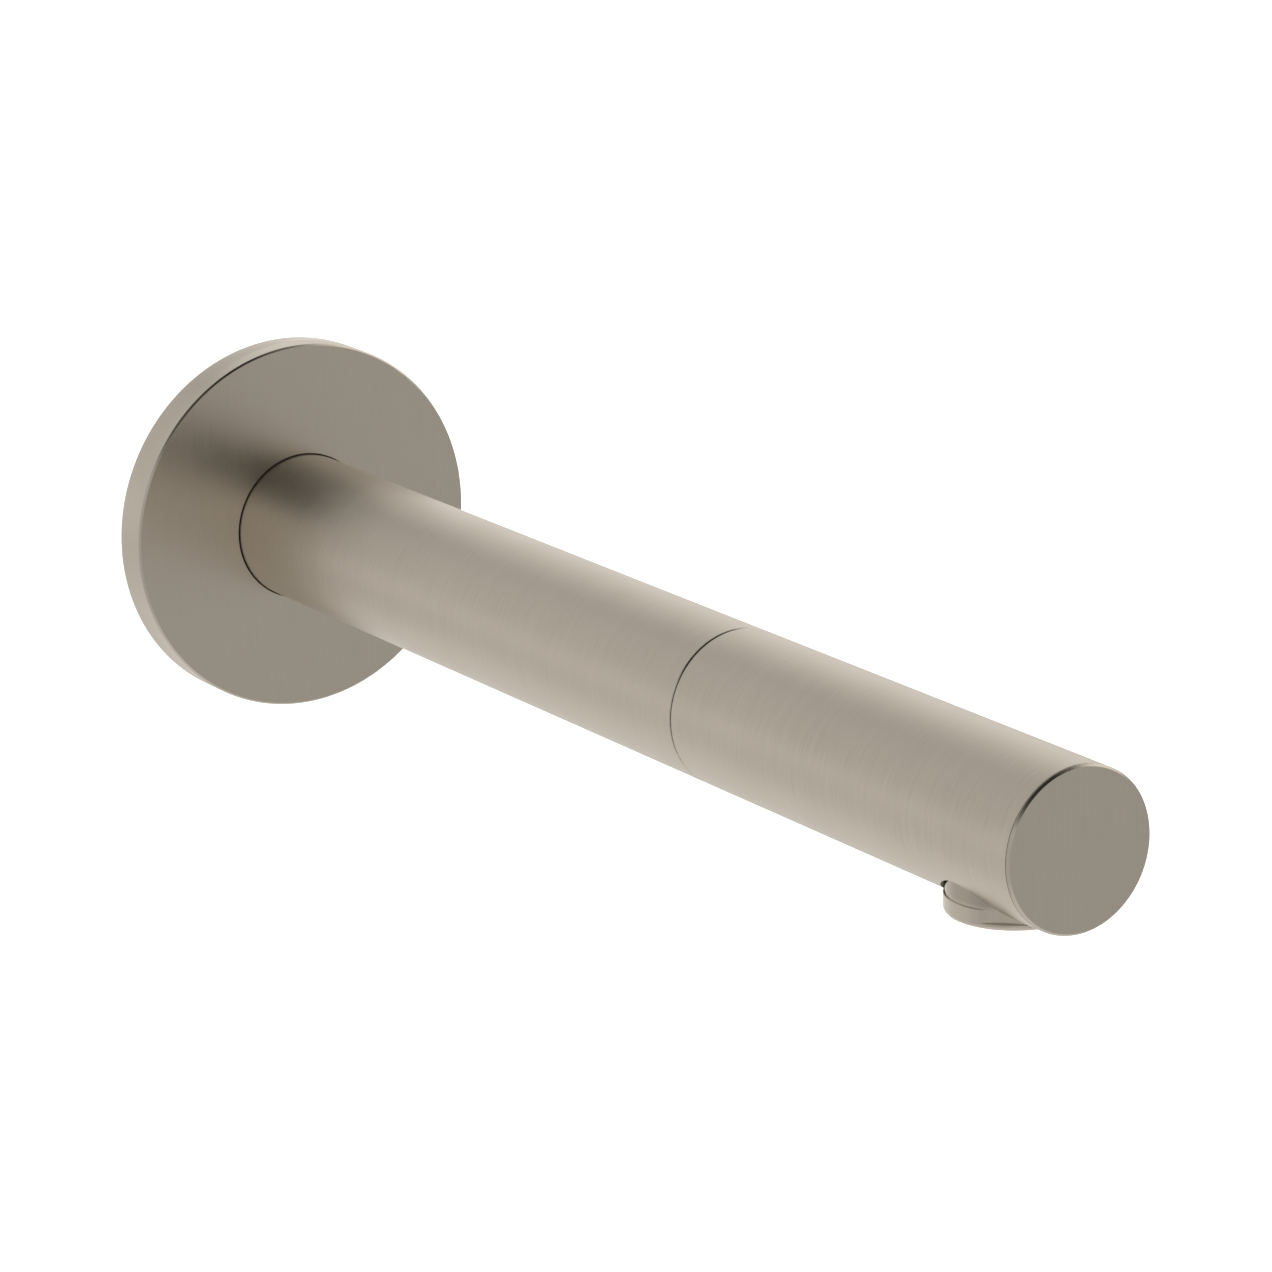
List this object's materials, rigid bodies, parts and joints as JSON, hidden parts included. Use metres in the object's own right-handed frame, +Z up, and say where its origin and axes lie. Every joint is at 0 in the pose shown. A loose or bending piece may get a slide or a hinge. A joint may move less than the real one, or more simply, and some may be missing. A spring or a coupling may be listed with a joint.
{
  "type": "wall mounted bath spout",
  "caption": "Straight round wall mounted bath spout with a round rosette, a turning outlet head that shuts the water, and an aerator facing down.",
  "frame": {"origin": "centre of the G 1/2 wall thread, in the wall plane", "axes": "+Y into the wall along the spout, +Z up, +X to the right for a person who faces the wall"},
  "size_m": [0.0636, 0.2448, 0.0636],
  "materials": {
    "brushed_nickel": "brushed nickel plating on brass, fine lines, satin",
    "raw_brass": "turned, unplated",
    "stainless": "satin stainless steel",
    "black_rubber": "matte black rubber",
    "valve_ceramic": "lapped alumina",
    "white_acetal": "natural acetal",
    "black_acetal": "black acetal",
    "grey_acetal": "moulded grey acetal"
  },
  "bodies": {
    "spout_base": {"wall_nipple": "raw_brass", "inlet_oring_rear": "black_rubber", "inlet_oring_front": "black_rubber", "rosette": "brushed_nickel", "rosette_oring": "black_rubber", "wall_gasket": "black_rubber", "rear_tube": "brushed_nickel", "tail_socket": "raw_brass", "grub_screw": "stainless", "waterway_pipe": "raw_brass", "pipe_oring_rear": "black_rubber", "pipe_oring_front": "black_rubber", "valve_body": "raw_brass", "seat_seal": "black_rubber", "fixed_disc": "valve_ceramic", "bearing_bush_rear": "white_acetal", "bearing_bush_front": "white_acetal", "head_oring_rear": "black_rubber", "head_oring_front": "black_rubber", "slip_ring": "black_acetal"},
    "outlet_head": {"front_tube": "brushed_nickel", "end_cap": "brushed_nickel", "outlet_body": "raw_brass", "stop_screw": "stainless", "moving_disc": "valve_ceramic", "disc_driver": "grey_acetal", "aerator_housing": "brushed_nickel", "aerator_seal": "black_rubber", "aerator_screen": "stainless", "aerator_jet_disc": "grey_acetal", "aerator_insert": "grey_acetal"}
  },
  "joints": [
    {"name": "head_turn", "type": "hinge", "parent": "spout_base", "child": "outlet_head", "pos_m": [0, -0.1432, 0], "axis": [0, 1, 0], "range_deg": [0, 90]}
  ]
}
